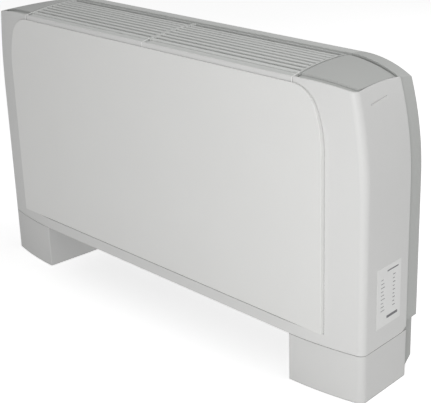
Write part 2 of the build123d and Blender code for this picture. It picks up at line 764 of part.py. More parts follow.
def motor_armature():
    """Cage rotor of the motor, pressed on the shaft."""
    ring_radius, reach = 20.0, STACK_HALF + 5
    core = along_x(ARMATURE_RADIUS, -STACK_HALF, STACK_HALF, FAN_DEPTH, FAN_Z)
    rings = along_x(ring_radius, -reach, reach, FAN_DEPTH, FAN_Z)
    return core + rings - along_x(SHAFT_RADIUS, -reach - 1, reach + 1, FAN_DEPTH, FAN_Z)


def motor_stator():
    """Laminated ring with winding heads."""
    head_radius, reach, air_gap = 36.0, STACK_HALF + 12, 0.6
    core = along_x(STATOR_RADIUS, -STACK_HALF, STACK_HALF, FAN_DEPTH, FAN_Z)
    heads = along_x(head_radius, -reach, reach, FAN_DEPTH, FAN_Z)
    return core + heads - along_x(ARMATURE_RADIUS + air_gap, -reach - 1, reach + 1, FAN_DEPTH, FAN_Z)


def motor_housing():
    """Drum-shaped motor case with bearing bosses and cooling slots."""
    case = along_x(MOTOR_RADIUS, -MOTOR_HALF + 10, MOTOR_HALF - 10, FAN_DEPTH, FAN_Z)
    case = soften(case, 5.0, lambda edge: edge.bounding_box().size.X < 0.1)
    bosses = along_x(16, -MOTOR_HALF, MOTOR_HALF, FAN_DEPTH, FAN_Z)
    case = case + bosses
    case -= along_x(STATOR_RADIUS, -34, 34, FAN_DEPTH, FAN_Z)
    case -= along_x(BEARING_RADIUS, -MOTOR_HALF + 3, MOTOR_HALF - 3, FAN_DEPTH, FAN_Z)
    case -= along_x(SHAFT_RADIUS + 1.5, -60, 60, FAN_DEPTH, FAN_Z)
    slot = Pos(0, 0, 30) * Box(120, 5, 14)
    for index in range(8):
        turned = Pos(0, at(FAN_DEPTH), FAN_Z) * Rot(45 * index + 22.5, 0, 0) * slot
        case -= turned & (block(-60, -36, 0, 190, 100, 280) + block(36, 60, 0, 190, 100, 280))
    return case


def motor_bearings():
    """Two plain bearings that carry the shaft in the motor case."""
    sleeves = []
    for side in (-1, 1):
        sleeve = along_x(BEARING_RADIUS, side * (MOTOR_HALF - 15), side * (MOTOR_HALF - 3), FAN_DEPTH, FAN_Z)
        bore = along_x(SHAFT_RADIUS + RUNNING, -60, 60, FAN_DEPTH, FAN_Z)
        sleeves.append(sleeve - bore)
    return Compound(sleeves)


def motor_cradle():
    """Steel bracket that clamps the motor under the fan deck."""
    band_half = 11.0
    bands = []
    for side in (-1, 1):
        x0, x1 = side * 26 - band_half / 2, side * 26 + band_half / 2
        band = along_x(MOTOR_RADIUS + 2, x0, x1, FAN_DEPTH, FAN_Z)
        post = block(x0, x1, FAN_DEPTH - 30, FAN_DEPTH + 30, FAN_Z + 30, DECK_Z - 2)
        bands.append(band + post)
    top = block(-40, 40, FAN_DEPTH - 38, FAN_DEPTH + 38, DECK_Z - 2, DECK_Z)
    cradle = joined(bands + [top])
    cradle -= along_x(MOTOR_RADIUS, -60, 60, FAN_DEPTH, FAN_Z)
    return cradle - block(-60, 60, FAN_DEPTH - 24, FAN_DEPTH + 24, FAN_Z + 40, DECK_Z - 6)


# ---- coil, tray and pipes -------------------------------------------------------------------
def in_coil(x, across, along):
    """Point in the coil: across its thickness and along its tilted height."""
    tilt = radians(COIL_TILT)
    depth = COIL_DEPTH + across * cos(tilt) + along * sin(tilt)
    return (x, at(depth), COIL_Z - across * sin(tilt) + along * cos(tilt))


def tube_places():
    """Centres of the tube rows, in the order that the water runs through them."""
    pitch = (COIL_HEIGHT - 20) / (TUBE_ROWS - 1)
    heights = [-(COIL_HEIGHT - 20) / 2 + pitch * index for index in range(TUBE_ROWS)]
    front = [(-11.0, height) for height in heights]
    rear = [(11.0, height) for height in reversed(heights)]
    return front + rear


def coil_fins():
    """Fins joined by the collars that space them on the tubes."""
    count = int(2 * (COIL_HALF - 6) / FIN_PITCH)
    start = -count * FIN_PITCH / 2
    tilt = Rot(-COIL_TILT, 0, 0)
    centre = Pos(0, at(COIL_DEPTH), COIL_Z)
    plate = Box(FIN_THICK, COIL_THICK, COIL_HEIGHT)
    for across, along in tube_places():
        plate -= Pos(0, across, along) * Rot(0, 90, 0) * Cylinder(TUBE_RADIUS, 5)
    fins = [centre * tilt * Pos(start + index * FIN_PITCH, 0, 0) * plate for index in range(count + 1)]
    length = count * FIN_PITCH
    collars = []
    for across, along in tube_places()[::5]:
        sleeve = Cylinder(TUBE_RADIUS + 0.6, length) - Cylinder(TUBE_RADIUS, length + 2)
        collars.append(centre * tilt * Pos(0, across, along) * Rot(0, 90, 0) * sleeve)
    return joined(fins + collars)


def coil_tube():
    """One copper tube that runs to and fro through all the fins."""
    reach = COIL_HALF + 16
    bend = 10.5
    places = tube_places()
    path = [in_coil(-reach - 14, *places[0])]
    side = 1
    for index in range(len(places) - 1):
        here, there = places[index], places[index + 1]
        path.append(in_coil(side * reach, *here))
        path.append(in_coil(side * reach, *there))
        side = -side
    path.append(in_coil(side * (reach + 14), *places[-1]))
    return pipe_along(path, TUBE_RADIUS - 0.05, bend) - pipe_along(path, TUBE_RADIUS - 0.8, bend)


def coil_end_plates():
    """Steel plates at both ends of the fins."""
    plates = []
    for side in (-1, 1):
        plate = Box(1.2, COIL_THICK, COIL_HEIGHT)
        for across, along in tube_places():
            plate -= Pos(0, across, along) * Rot(0, 90, 0) * Cylinder(TUBE_RADIUS, 5)
        centre = Pos(side * (COIL_HALF + 1), at(COIL_DEPTH), COIL_Z)
        plates.append(centre * Rot(-COIL_TILT, 0, 0) * plate)
    return Compound(plates)


def header_pipe(place, depth, low):
    """Pipe from one end of the coil tube down towards the floor."""
    x, y, z = in_coil(-COIL_HALF - 30, *place)
    points = [
        (x, y, z),
        (PIPE_X, y, z),
        (PIPE_X, y, z - 30),
        (PIPE_X, at(depth), z - 60 - abs(y - at(depth))),
        (PIPE_X, at(depth), low),
    ]
    pipe = pipe_along(points, PIPE_RADIUS, 9.5)
    socket = Pos(x + 6, y, z) * Rot(0, 90, 0) * Cylinder(TUBE_RADIUS + 1.2, 14)
    bore = Pos(x + 10, y, z) * Rot(0, 90, 0) * Cylinder(TUBE_RADIUS, 20)
    return pipe + socket - bore


def supply_pipe():
    return header_pipe(tube_places()[0], SUPPLY_DEPTH, 150.0)


def return_pipe():
    return header_pipe(tube_places()[-1], RETURN_DEPTH, 150.0)


def union(depth):
    """Brass half-inch union: socket, hexagon and a male thread that points down."""
    socket = along_z(PIPE_RADIUS + 2.5, PIPE_X, depth, 141, 160)
    nut = hexagon(27, PIPE_X, depth, 128, 141)
    thread = along_z(10.48, PIPE_X, depth, 113, 128)
    bore = along_z(PIPE_RADIUS, PIPE_X, depth, 150, 161) + along_z(6.5, PIPE_X, depth, 112, 151)
    return joined([socket, nut, thread]) - bore


def air_vent():
    """Brass vent body on the highest bend of the coil."""
    depth, z = vent_place()
    body = along_z(6.5, VENT_X, depth, z - 8, z + 10)
    stem = along_x(3.5, VENT_X, -COIL_HALF - 20.8, depth, z)
    seat = along_z(VENT_SCREW_RADIUS + RUNNING, VENT_X, depth, z + 1, z + 11)
    return body + stem - seat


def vent_screw():
    """Slotted bleed screw that turns in the vent body."""
    depth, z = vent_place()
    stem = along_z(VENT_SCREW_RADIUS, VENT_X, depth, z + 1.5, z + 11)
    head = along_z(4.5, VENT_X, depth, z + 10.5, z + 15.5)
    slot = block(VENT_X - 6, VENT_X + 6, depth - 0.6, depth + 0.6, z + 14, z + 16)
    return stem + head - slot


def vent_place():
    """Depth and height of the bend that joins the two tube rows at the top."""
    top = tube_places()[TUBE_ROWS][1]
    x, y, z = in_coil(0, 0, top)
    return y - FRONT_Y, z


def drip_tray():
    """Trough under the lower edge of the coil."""
    outer = block(-366, 366, 18, 96, 289, 314)
    inner = block(-364.5, 364.5, 19.5, 94.5, 290.5, 320)
    tray = outer - inner
    rim = block(-366, 366, 94.5, 102, 312.5, 314)
    return joined([tray, rim]) - along_x(6.0, -380, -360, DRAIN_DEPTH, DRAIN_Z)


def drain_spigot():
    """Elbow that leads condensate out of the tray and down."""
    start_x, drop_x, low = -364.5, -398.0, 262.0
    y = at(DRAIN_DEPTH)
    path = [(start_x, y, DRAIN_Z), (drop_x, y, DRAIN_Z), (drop_x, y, low)]
    outer = pipe_along(path, 6.0, 8.0)
    flange = along_x(9.0, -370.0, -366.0, DRAIN_DEPTH, DRAIN_Z)
    hose_end = along_z(8.0, drop_x, DRAIN_DEPTH, low, low + 20)
    return joined([outer, flange, hose_end]) - pipe_along(path, 4.5, 8.0)


# ---- controls -------------------------------------------------------------------------------
PANEL_Z = 531.0
PANEL_THICK = 3.0
THERMOSTAT = (412.0, 52.0)
SPEED = (412.0, 92.0)
SWITCH = (450.0, 72.0)
KNOB_LIFT = 1.0


def control_plate():
    """Moulded plate under the right-hand lid that carries the controls."""
    x0, x1, d0, d1 = 381.0, 468.0, 30.0, 120.0
    low, high = PANEL_Z, PANEL_Z + PANEL_THICK
    plate = block(x0, x1, d0, d1, low, high)
    plate = soften(plate, 6.0, lambda edge: edge.bounding_box().size.Z > 2)
    skirt = block(x0, x0 + 2, d0 + 8, d1 - 8, low - 30, low + 0.5)
    foot = block(CORE_HALF + SHEET, x0 + 2, d0 + 8, d1 - 8, low - 30, low - 28)
    plate = joined([plate, skirt, foot])
    for x, depth in (THERMOSTAT, SPEED):
        plate -= along_z(3.0 + RUNNING, x, depth, low - 5, high + 5)
    x, depth = SWITCH
    plate -= block(x - 6.6, x + 6.6, depth - 11.2, depth + 11.2, low - 5, high + 5)
    return plate


def knob(place, radius, height, grips):
    """Round control knob on its spindle, with finger grips and a pointer groove."""
    x, depth = place
    low = PANEL_Z + PANEL_THICK + KNOB_LIFT
    body = along_z(radius, x, depth, low, low + height)
    body = soften(body, 1.5, lambda edge: edge.center().Z > low + height - 0.1)
    for index in range(grips):
        angle = 2 * pi * index / grips
        body -= along_z(1.6, x + (radius + 0.7) * cos(angle), depth + (radius + 0.7) * sin(angle),
                        low - 1, low + height + 1)
    top = low + height
    body -= block(x - 0.7, x + 0.7, depth - radius, depth - radius * 0.3, top - 0.8, top + 1)
    return body + along_z(3.0, x, depth, PANEL_Z - 12, low + 0.5)


def thermostat_knob():
    return knob(THERMOSTAT, 16.0, 13.0, 18)


def speed_knob():
    return knob(SPEED, 12.0, 12.0, 12)


def power_switch():
    """Rocker key that tips about its own middle."""
    x, depth = SWITCH
    half, width = 10.2, 11.2
    low = PANEL_Z - 4
    raised, dip, sunk = low + 11.6, low + 8.6, low + 8.2
    front, middle, rear = at(depth - half), at(depth), at(depth + half)
    profile = Polyline((front, low), (rear, low), (rear, sunk), (middle, dip), (front, raised), close=True)
    return Pos(x - width / 2, 0, 0) * extrude(Plane.YZ * make_face(profile), width)


CONTROL_BOX = (380.0, 462.0, 36.0, 140.0, 396.0, 486.0)   # X, depth and height ranges


def control_box():
    """Open-topped electrical box fixed to the right-hand side plate."""
    x0, x1, d0, d1, z0, z1 = CONTROL_BOX
    box = block(x0, x1, d0, d1, z0, z1) - block(x0 + 2, x1 - 2, d0 + 2, d1 - 2, z0 + 2, z1 + 5)
    tabs = [block(CORE_HALF + SHEET, x0 + 1, d0, d0 + 8, z0, z1),
            block(CORE_HALF + SHEET, x0 + 1, d1 - 4, d1, z0, z0 + 40)]
    box = joined([box] + tabs)
    return box - along_z(5.0, 400, CABLE_DEPTH, z0 - 2, z0 + 5)


def control_box_lid():
    """Cover of the electrical box, with vent slots."""
    x0, x1, d0, d1, _, top = CONTROL_BOX
    cover = block(x0, x1, d0, d1, top, top + 2)
    for index in range(6):
        depth = d0 + 20 + index * 12
        cover -= block(x0 + 20, x1 - 20, depth, depth + 4, top - 1, top + 3)
    return cover


def terminal_block():
    """Row of screw terminals on the floor of the electrical box."""
    body = block(430, 454, 50, 126, 398, 414)
    for index in range(6):
        depth = 56.5 + index * 12.6
        body -= along_z(2.8, 442, depth, 408, 415)
        body -= along_x(2.2, 425, 460, depth, 403)
    return body


def motor_capacitor():
    body = along_y(13.0, 398, 78, 124, 412)
    body = soften(body, 2.0, lambda edge: edge.bounding_box().size.Y < 0.1)
    tabs = [block(394 + 6 * index, 397 + 6 * index, 70, 78.5, 409, 415) for index in range(2)]
    return joined([body] + tabs)


def motor_cable():
    """Cable from the electrical box through the side plate to the motor."""
    box_x, inside_x, motor_x = 400.0, 352.0, 34.0
    points = [
        (box_x, at(CABLE_DEPTH), 404),
        (box_x, at(CABLE_DEPTH), CABLE_Z),
        (inside_x, at(CABLE_DEPTH), CABLE_Z),
        (inside_x, at(18), 262),
        (motor_x, at(18), 262),
        (motor_x, at(55), 226),
    ]
    return pipe_along(points, 3.0, 12.0)


def cable_grommet():
    """Rubber ring where the cable passes the side plate."""
    inside, outside, lip = CORE_HALF, CORE_HALF + SHEET, 1.5

    def disc(radius, x0, x1):
        return along_x(radius, x0, x1, CABLE_DEPTH, CABLE_Z)

    rings = [disc(9.5, inside, outside), disc(12, inside - lip, inside), disc(12, outside, outside + lip)]
    return joined(rings) - disc(3.0, inside - 5, outside + 5)


# ---- fasteners and label --------------------------------------------------------------------
def screw_along_y(x, depth, z, shank, length, head):
    """Low-headed screw driven forwards from behind, with its head's seat at depth."""
    thick = 1.6
    body = along_y(shank, x, depth - length, depth, z)
    cap = along_y(head, x, depth, depth + thick, z)
    cap = soften(cap, 0.5, lambda edge: edge.center().Y > at(depth + thick) - 0.1)
    cross = block(x - 0.5, x + 0.5, depth + 0.6, depth + 3, z - 2, z + 2)
    cross += block(x - 2, x + 2, depth + 0.6, depth + 3, z - 0.5, z + 0.5)
    return body + cap - cross


def shell_screws():
    """Screws through the back flange of the rear shells."""
    seat = SHELL_REAR - 1.7
    screws = [screw_along_y(side_x(SHELL_REAR, z) - 16, seat, z, 2.15, 0.8, 4.0) for z in SHELL_SCREW_HEIGHTS]
    return Compound(screws + [mirrored(screw) for screw in screws])


def leg_screws():
    """Screws that join the legs to the back panel."""
    head = CORE_REAR + 3.4
    screws = [screw_along_y(x, head, LEG_SCREW_Z, 2.45, 8.0, 4.5) for x in LEG_SCREW_XS]
    return Compound(screws + [mirrored(screw) for screw in screws])


def rating_label():
    """Blank data plate stuck to the right-hand side."""
    d0, d1, z0, z1, thick = 57.0, 128.0, 129.0, 241.0, 0.3
    x0, x1 = half_width(d0), half_width(d1)
    corners = [(x0, at(d0)), (x0 + thick, at(d0)), (x1 + thick, at(d1)), (x1, at(d1))]
    return extrude(Pos(0, 0, z0) * make_face(Polyline(*corners, close=True)), z1 - z0)


# ---- every sub-part, by node name --------------------------------------------------------------
def build_nodes():
    hoop = rear_shell_solid()
    right_hand = {
        "lid": lid(),
        "hinge_pin": hinge_pin(),
        "grille": grille(),
        "rear_shell": rear_shell(hoop),
        "foot_cover": foot_cover(),
        "foot_bracket": foot_bracket(),
        "chassis_side": chassis_side(),
        "fan_housing": fan_housing(),
        "rotor": rotor(),
    }
    nodes = {}
    for name, part in right_hand.items():
        nodes[name + "_right"] = part
        nodes[name + "_left"] = mirrored(part)
    single = [
        front_cover, front_plate, foot_pads, chassis_back, base_panel, fan_deck, duct_front,
        duct_insulation, filter_rails, filter_frame, filter_mesh, motor_shaft, motor_armature,
        motor_stator, motor_housing, motor_bearings, motor_cradle, coil_fins, coil_tube,
        coil_end_plates, supply_pipe, return_pipe, air_vent, vent_screw, drip_tray, drain_spigot,
        control_plate, thermostat_knob, speed_knob, power_switch, control_box, control_box_lid,
        terminal_block, motor_capacitor, motor_cable, cable_grommet, shell_screws, leg_screws,
        rating_label,
    ]
    for make in single:
        nodes[make.__name__] = make()
    nodes["rear_rail"] = rear_rail(hoop)
    nodes["supply_union"] = union(SUPPLY_DEPTH)
    nodes["return_union"] = union(RETURN_DEPTH)
    return nodes


os.makedirs("parts", exist_ok=True)
for node_name, node_part in build_nodes().items():
    export_step(node_part, f"parts/{node_name}.step")
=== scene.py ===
"""Looks of a floor-standing fan convector heater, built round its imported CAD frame."""
import json
import math

import bmesh
import bpy
from mathutils import Matrix, Vector


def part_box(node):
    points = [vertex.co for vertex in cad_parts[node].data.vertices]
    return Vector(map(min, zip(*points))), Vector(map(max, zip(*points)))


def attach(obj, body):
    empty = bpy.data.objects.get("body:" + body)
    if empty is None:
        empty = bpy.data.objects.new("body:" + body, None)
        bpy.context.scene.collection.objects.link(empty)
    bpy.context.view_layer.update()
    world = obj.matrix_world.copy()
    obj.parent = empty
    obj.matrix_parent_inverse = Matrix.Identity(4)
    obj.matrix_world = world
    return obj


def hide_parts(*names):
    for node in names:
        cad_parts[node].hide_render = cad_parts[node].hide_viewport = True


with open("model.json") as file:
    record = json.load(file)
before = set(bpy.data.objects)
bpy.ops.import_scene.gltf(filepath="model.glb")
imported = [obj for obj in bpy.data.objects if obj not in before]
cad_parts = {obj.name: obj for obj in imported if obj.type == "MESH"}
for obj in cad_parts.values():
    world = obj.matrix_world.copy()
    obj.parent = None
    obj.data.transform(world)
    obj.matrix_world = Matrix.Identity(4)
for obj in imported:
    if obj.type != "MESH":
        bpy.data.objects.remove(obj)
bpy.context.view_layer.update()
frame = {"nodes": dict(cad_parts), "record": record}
MM = 0.001
ROOT = "frame"
FLOOR_LIGHT = 0.05            # light that the floor gives off by itself
FLOOR_GLOW = 0.62             # and its brightness as the camera sees it
ROOM_LIGHT = 0.36             # light that the room gives off
ROOM_GLOW = 0.92              # and its brightness as the camera sees it
EDGE_SAMPLES = 4
CREVICE_SAMPLES = 6


# ---- material kit ------------------------------------------------------------------
class Look:
    """A node material under construction. Textures are read in the object's own metres."""

    def __init__(self, name, roughness=0.5, metallic=0.0, edge=0.6 * MM):
        self.material = bpy.data.materials.new(name)
        self.material.use_nodes = True
        self.tree = self.material.node_tree
        self.tree.nodes.clear()
        self.output = self.node("ShaderNodeOutputMaterial")
        self.surface = self.node("ShaderNodeBsdfPrincipled")
        self.link(self.surface.outputs["BSDF"], self.output.inputs["Surface"])
        self.set(Roughness=roughness, Metallic=metallic)
        self.place = self.node("ShaderNodeTexCoord").outputs["Object"]
        rounded = self.node("ShaderNodeBevel")
        rounded.samples = EDGE_SAMPLES
        rounded.inputs["Radius"].default_value = edge
        self.normal = rounded.outputs["Normal"]
        self.link(self.normal, self.surface.inputs["Normal"])

    def node(self, kind, **settings):
        made = self.tree.nodes.new(kind)
        for key, value in settings.items():
            setattr(made, key, value)
        return made

    def link(self, source, target):
        self.tree.links.new(source, target)

    def set(self, **values):
        for key, value in values.items():
            self.surface.inputs[key.replace("_", " ")].default_value = value

    def stretched(self, stretch):
        """Texture place with each axis scaled, so that a scale under 1 draws marks out."""
        mapping = self.node("ShaderNodeMapping")
        mapping.inputs["Scale"].default_value = stretch
        self.link(self.place, mapping.inputs["Vector"])
        return mapping.outputs["Vector"]

    def noise(self, size, detail=2.0, stretch=(1, 1, 1)):
        """Smooth noise whose blotches are about size across."""
        texture = self.node("ShaderNodeTexNoise")
        texture.inputs["Scale"].default_value = 1.0 / size
        texture.inputs["Detail"].default_value = detail
        self.link(self.stretched(stretch), texture.inputs["Vector"])
        return texture.outputs["Fac"]

    def cells(self, size, stretch=(1, 1, 1)):
        """Voronoi cells that are about size across."""
        texture = self.node("ShaderNodeTexVoronoi")
        texture.inputs["Scale"].default_value = 1.0 / size
        self.link(self.stretched(stretch), texture.inputs["Vector"])
        return texture

    def between(self, factor, low, high):
        """Number that runs from low to high with a 0 to 1 factor."""
        spread = self.node("ShaderNodeMapRange")
        spread.inputs["To Min"].default_value = low
        spread.inputs["To Max"].default_value = high
        self.link(factor, spread.inputs["Value"])
        return spread.outputs["Result"]

    def step(self, factor, low, high):
        """Factor stretched so that low becomes 0 and high becomes 1, clamped."""
        spread = self.node("ShaderNodeMapRange", clamp=True)
        spread.inputs["From Min"].default_value = low
        spread.inputs["From Max"].default_value = high
        self.link(factor, spread.inputs["Value"])
        return spread.outputs["Result"]

    def blend(self, factor, low, high):
        """Colour between two colours; either may be a socket."""
        mix = self.node("ShaderNodeMix", data_type="RGBA")
        self.link(factor, mix.inputs["Factor"])
        for socket, value in ((mix.inputs[6], low), (mix.inputs[7], high)):
            if isinstance(value, tuple):
                socket.default_value = (*value, 1.0)
            else:
                self.link(value, socket)
        return mix.outputs[2]

    def colour(self, socket):
        self.link(socket, self.surface.inputs["Base Color"])

    def rough(self, factor, low, high):
        self.link(self.between(factor, low, high), self.surface.inputs["Roughness"])

    def bump(self, height, distance):
        """Adds relief of a real height, on top of any that is there."""
        relief = self.node("ShaderNodeBump")
        relief.inputs["Distance"].default_value = distance
        relief.inputs["Strength"].default_value = 1.0
        self.link(height, relief.inputs["Height"])
        self.link(self.normal, relief.inputs["Normal"])
        self.normal = relief.outputs["Normal"]
        self.link(self.normal, self.surface.inputs["Normal"])

    def edges(self, width):
        """0 on flat stretches and 1 along sharp edges, from how far the bevel turns the normal; it marks
        where painted highlights go.
        """
        flat, sharp = 0.998, 0.9
        geometry = self.node("ShaderNodeNewGeometry")
        rounded = self.node("ShaderNodeBevel")
        rounded.samples = EDGE_SAMPLES
        rounded.inputs["Radius"].default_value = width
        dot = self.node("ShaderNodeVectorMath", operation="DOT_PRODUCT")
        self.link(geometry.outputs["Normal"], dot.inputs[0])
        self.link(rounded.outputs["Normal"], dot.inputs[1])
        return self.step(dot.outputs["Value"], flat, sharp)

    def crevice_shade(self, reach):
        """0 on open stretches and 1 deep in gaps and grooves narrower than reach; it marks where painted
        shade goes.
        """
        open_air, enclosed = 0.72, 0.25
        shelter = self.node("ShaderNodeAmbientOcclusion")
        shelter.samples = CREVICE_SAMPLES
        shelter.inputs["Distance"].default_value = reach
        return self.step(shelter.outputs["AO"], open_air, enclosed)


def shade(colour, factor):
    """The same colour made darker or lighter."""
    return tuple(channel * factor for channel in colour)


# ---- materials -----------------------------------------------------------------------
def powder_coat(name, colour, roughness, peel=0.03 * MM):
    """Satin powder coat: faint orange peel, slow drift of tone, dust grain, painted highlights on edges,
    painted shade in grooves.
    """
    look = Look(name, roughness, edge=0.9 * MM)
    drift = look.noise(120 * MM, 3.0)
    base = look.blend(drift, shade(colour, 0.982), shade(colour, 1.012))
    grain = look.noise(1.1 * MM, 3.0)
    base = look.blend(look.step(grain, 0.60, 0.78), base, shade(colour, 0.93))
    # painted highlight: sharp edges lightened where a rounded rim would catch the light
    base = look.blend(look.edges(0.7 * MM), base, shade(colour, 1.05))
    # painted shade: gaps and grooves darkened where shade falls
    look.colour(look.blend(look.crevice_shade(5 * MM), base, shade(colour, 0.42)))
    look.rough(look.noise(30 * MM, 4.0), roughness - 0.05, roughness + 0.06)
    look.bump(look.noise(2.4 * MM, 1.5), peel)
    look.bump(look.noise(0.6 * MM), peel * 0.25)
    look.set(Specular_IOR_Level=0.42)
    return look.material


def moulded_plastic(name, colour, roughness=0.5, depth=0.03 * MM):
    """Injection moulding with a spark-eroded grain, painted highlights on its edges and painted shade in
    its gaps.
    """
    look = Look(name, roughness, edge=0.5 * MM)
    drift = look.noise(70 * MM)
    base = look.blend(drift, shade(colour, 0.97), shade(colour, 1.02))
    # painted highlight: sharp edges lightened where a rounded rim would catch the light
    base = look.blend(look.edges(0.4 * MM), base, shade(colour, 1.07))
    # painted shade: gaps and grooves darkened where shade falls
    look.colour(look.blend(look.crevice_shade(4 * MM), base, shade(colour, 0.55)))
    grain = look.cells(0.7 * MM)
    look.bump(grain.outputs["Distance"], depth)
    look.rough(look.noise(20 * MM, 3.0), roughness - 0.05, roughness + 0.07)
    return look.material


def galvanised(name):
    """Zinc-coated sheet: flat crystal spangles and faint rolling lines."""
    look = Look(name, 0.4, 0.85, edge=0.3 * MM)
    spangle = look.cells(9 * MM, stretch=(1, 1, 0.8))
    tone = look.between(spangle.outputs["Color"], 0.0, 1.0)
    base = look.blend(tone, (0.42, 0.44, 0.46), (0.62, 0.64, 0.66))
    dull = look.noise(50 * MM, 4.0)
    look.colour(look.blend(look.step(dull, 0.45, 0.75), base, (0.50, 0.51, 0.52)))
    look.rough(tone, 0.32, 0.5)
    look.bump(look.noise(1.5 * MM, stretch=(1, 1, 0.05)), 0.01 * MM)
    return look.material


def foam(name):
    """Dark closed-cell foam with pores."""
    look = Look(name, 0.95)
    pores = look.cells(2.2 * MM)
    look.colour(look.blend(look.noise(10 * MM, 4.0), (0.035, 0.035, 0.038), (0.07, 0.07, 0.072)))
    look.bump(pores.outputs["Distance"], 0.5 * MM)
    return look.material


def metal(name, low, high, roughness, stretch=(1, 1, 1)):
    """Bare metal with drawn or turned marks and patches of tarnish."""
    look = Look(name, roughness, 1.0, edge=0.3 * MM)
    look.colour(look.blend(look.noise(25 * MM, 5.0), low, high))
    look.rough(look.noise(12 * MM, 4.0), roughness - 0.08, roughness + 0.12)
    look.bump(look.noise(1.2 * MM, stretch=stretch), 0.012 * MM)
    return look.material


def rubber(name):
    """Black rubber or cable sheath with a fine matt skin."""
    black = (0.018, 0.018, 0.019)
    look = Look(name, 0.75, edge=0.5 * MM)
    look.colour(look.blend(look.noise(10 * MM, 4.0), black, shade(black, 1.8)))
    look.bump(look.noise(0.8 * MM, 3.0), 0.04 * MM)
    return look.material


def windings(name):
    """Varnished copper coils and stacked laminations."""
    look = Look(name, 0.35, 0.7)
    wire = look.node("ShaderNodeTexWave", wave_type="BANDS", bands_direction="X")
    wire.inputs["Scale"].default_value = 1.0 / (1.6 * MM)
    look.link(look.place, wire.inputs["Vector"])
    look.colour(look.blend(wire.outputs["Fac"], (0.16, 0.06, 0.02), (0.45, 0.2, 0.07)))
    look.bump(wire.outputs["Fac"], 0.3 * MM)
    return look.material


def net_cloth(name):
    """Dark woven nylon."""
    look = Look(name, 0.6, edge=0.1 * MM)
    look.colour(look.blend(look.noise(20 * MM, 4.0), (0.03, 0.033, 0.036), (0.09, 0.095, 0.1)))
    look.bump(look.noise(0.4 * MM), 0.05 * MM)
    look.set(Sheen_Weight=0.2)
    return look.material


def label_film(name):
    """Smooth printed film, slightly off-white, with a faint laminate sheen."""
    look = Look(name, 0.3, edge=0.1 * MM)
    look.colour(look.blend(look.noise(30 * MM), (0.86, 0.86, 0.85), (0.89, 0.89, 0.88)))
    look.bump(look.noise(4 * MM), 0.01 * MM)
    look.set(Coat_Weight=0.4, Coat_Roughness=0.15)
    return look.material


def ink(name, colour):
    """Printed marks, a little uneven in tone."""
    look = Look(name, 0.45, edge=0.05 * MM)
    look.colour(look.blend(look.noise(2 * MM, 3.0), colour, shade(colour, 1.4)))
    return look.material


def floor_paint(name):
    """Pale matt floor that glows a little, and more to the camera than to the object."""
    look = Look(name, 0.85)
    look.colour(look.blend(look.noise(600 * MM, 4.0), (0.78, 0.78, 0.78), (0.81, 0.81, 0.81)))
    look.bump(look.noise(4 * MM, 3.0), 0.05 * MM)
    seen = look.node("ShaderNodeLightPath").outputs["Is Camera Ray"]
    look.set(Emission_Color=(1.0, 1.0, 1.0, 1.0))
    look.link(look.between(seen, FLOOR_LIGHT, FLOOR_GLOW), look.surface.inputs["Emission Strength"])
    return look.material


WHITE = (0.765, 0.765, 0.755)
LOOKS = {
    "white_coat": powder_coat("white_coat", WHITE, 0.42),
    "plate_coat": powder_coat("plate_coat", (0.845, 0.845, 0.83), 0.36, peel=0.02 * MM),
    "top_plastic": moulded_plastic("top_plastic", (0.70, 0.71, 0.695), 0.5),
    "clip_plastic": moulded_plastic("clip_plastic", (0.90, 0.90, 0.89), 0.35),
    "rear_coat": powder_coat("rear_coat", (0.55, 0.56, 0.545), 0.5),
    # painted shade: a darker copy of the white coat for the foot covers
    "foot_coat_shaded": powder_coat("foot_coat_shaded", (0.73, 0.73, 0.72), 0.42),
    # painted light: a lighter copy of the rear coat for the rear rail
    "rail_coat_lit": powder_coat("rail_coat_lit", (0.66, 0.67, 0.655), 0.5),
    # painted shade: a darker copy of the top plastic for the lids
    "lid_plastic_shaded": moulded_plastic("lid_plastic_shaded", (0.54, 0.55, 0.535), 0.36),
    "galvanised": galvanised("galvanised"),
    "foam": foam("foam"),
    "fin_aluminium": metal("fin_aluminium", (0.66, 0.67, 0.68), (0.80, 0.81, 0.82), 0.32),
    "copper": metal("copper", (0.48, 0.19, 0.10), (0.72, 0.34, 0.20), 0.3, stretch=(0.2, 1, 1)),
    "brass": metal("brass", (0.55, 0.40, 0.16), (0.74, 0.56, 0.26), 0.3),
    "fan_plastic": moulded_plastic("fan_plastic", (0.035, 0.035, 0.038), 0.55),
    "rotor_plastic": moulded_plastic("rotor_plastic", (0.02, 0.02, 0.022), 0.45),
    "steel": metal("steel", (0.42, 0.42, 0.43), (0.62, 0.62, 0.63), 0.35),
    "motor_case": powder_coat("motor_case", (0.03, 0.03, 0.032), 0.45),
    "motor_windings": windings("motor_windings"),
    "bronze": metal("bronze", (0.34, 0.20, 0.08), (0.52, 0.34, 0.15), 0.45),
    "filter_plastic": moulded_plastic("filter_plastic", (0.52, 0.53, 0.53), 0.5),
    "filter_cloth": net_cloth("filter_cloth"),
    "control_plastic": moulded_plastic("control_plastic", (0.74, 0.74, 0.72), 0.5),
    "knob_plastic": moulded_plastic("knob_plastic", (0.045, 0.048, 0.055), 0.3, depth=0.01 * MM),
    "switch_plastic": moulded_plastic("switch_plastic", (0.014, 0.014, 0.016), 0.25, depth=0.01 * MM),
    "box_plastic": moulded_plastic("box_plastic", (0.40, 0.41, 0.41), 0.5),
    "capacitor": moulded_plastic("capacitor", (0.62, 0.63, 0.65), 0.25, depth=0.01 * MM),
    "cable_sheath": rubber("cable_sheath"),
    "black_rubber": rubber("black_rubber"),
    "label_film": label_film("label_film"),
}

# pieces given lighter or darker copies of their slot's colour in the record: painted light on the rear
# rail, painted shade on the lids and foot covers
OWN_LOOKS = {
    "lid_left": "lid_plastic_shaded",
    "lid_right": "lid_plastic_shaded",
    "rear_rail": "rail_coat_lit",
    "foot_cover_left": "foot_coat_shaded",
    "foot_cover_right": "foot_coat_shaded",
}


